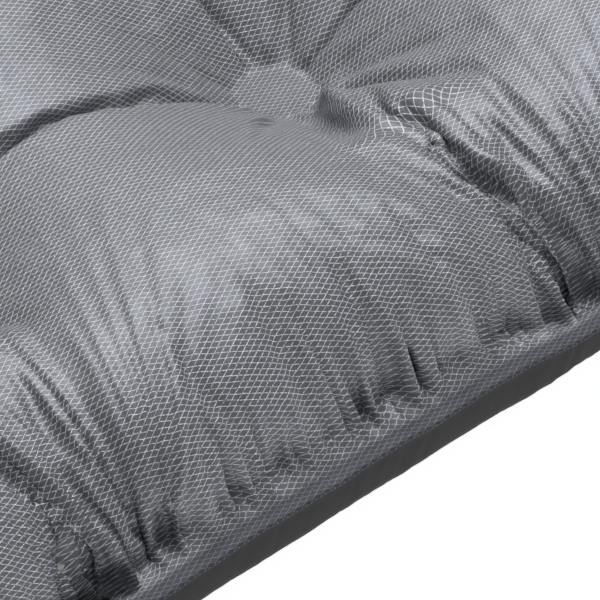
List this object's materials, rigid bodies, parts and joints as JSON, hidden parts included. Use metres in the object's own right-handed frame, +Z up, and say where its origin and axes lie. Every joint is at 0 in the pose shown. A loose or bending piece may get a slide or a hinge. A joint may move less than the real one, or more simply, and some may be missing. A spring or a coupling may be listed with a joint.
{
  "type": "quilted camp mat",
  "caption": "Inflated quilted camp mat: grey ripstop top and charcoal base welded at a flat edge flange and at round discs, with a low flip-lid valve at the head end.",
  "frame": {"origin": "on the ground under the middle of the mat, at the bottom centre of its box", "axes": "+X along the length towards the foot end (the valve is at the -X head end), +Y to the left side, +Z up"},
  "size_m": [1.83, 0.51, 0.0844],
  "materials": {
    "upper_cloth": "coated ripstop with a satin sheen",
    "lower_cloth": "plain coated taffeta, dull",
    "fibre_fill": "matt fibre",
    "metallised_film": "metallised film",
    "valve_moulding": "fine grain",
    "lid_moulding": "fine grain",
    "cap_moulding": "fine grain",
    "seal": "smooth",
    "silicone": "smooth translucent look",
    "hinge_pin": "drawn wire"
  },
  "bodies": {
    "root": {"upper_shell": "upper_cloth", "lower_shell": "lower_cloth", "insulation_batt": "fibre_fill", "reflective_film": "metallised_film", "valve_base": "valve_moulding", "insulation_guard": "valve_moulding", "lid_hinge_pin": "hinge_pin"},
    "lid": {"deflation_lid": "lid_moulding", "lid_seal": "seal", "flap_spider": "valve_moulding", "cap_hinge_pin": "hinge_pin"},
    "flap": {"one_way_flap": "silicone", "flap_button": "silicone"},
    "cap": {"inflation_cap": "cap_moulding", "cap_seal": "seal"}
  },
  "joints": [
    {"name": "lid_hinge", "type": "hinge", "parent": "root", "child": "lid", "pos_m": [-0.81402, 0.0685, 0.0792], "axis": [0, 1, 0], "range_deg": [0, 110]},
    {"name": "cap_hinge", "type": "hinge", "parent": "lid", "child": "cap", "pos_m": [-0.85348, 0.0685, 0.08288], "axis": [0, -1, 0], "range_deg": [0, 150]},
    {"name": "flap_travel", "type": "slide", "parent": "lid", "child": "flap", "axis": [0, 0, -1], "range_m": [0, 0.002], "stiffness_N_per_m": 60}
  ]
}
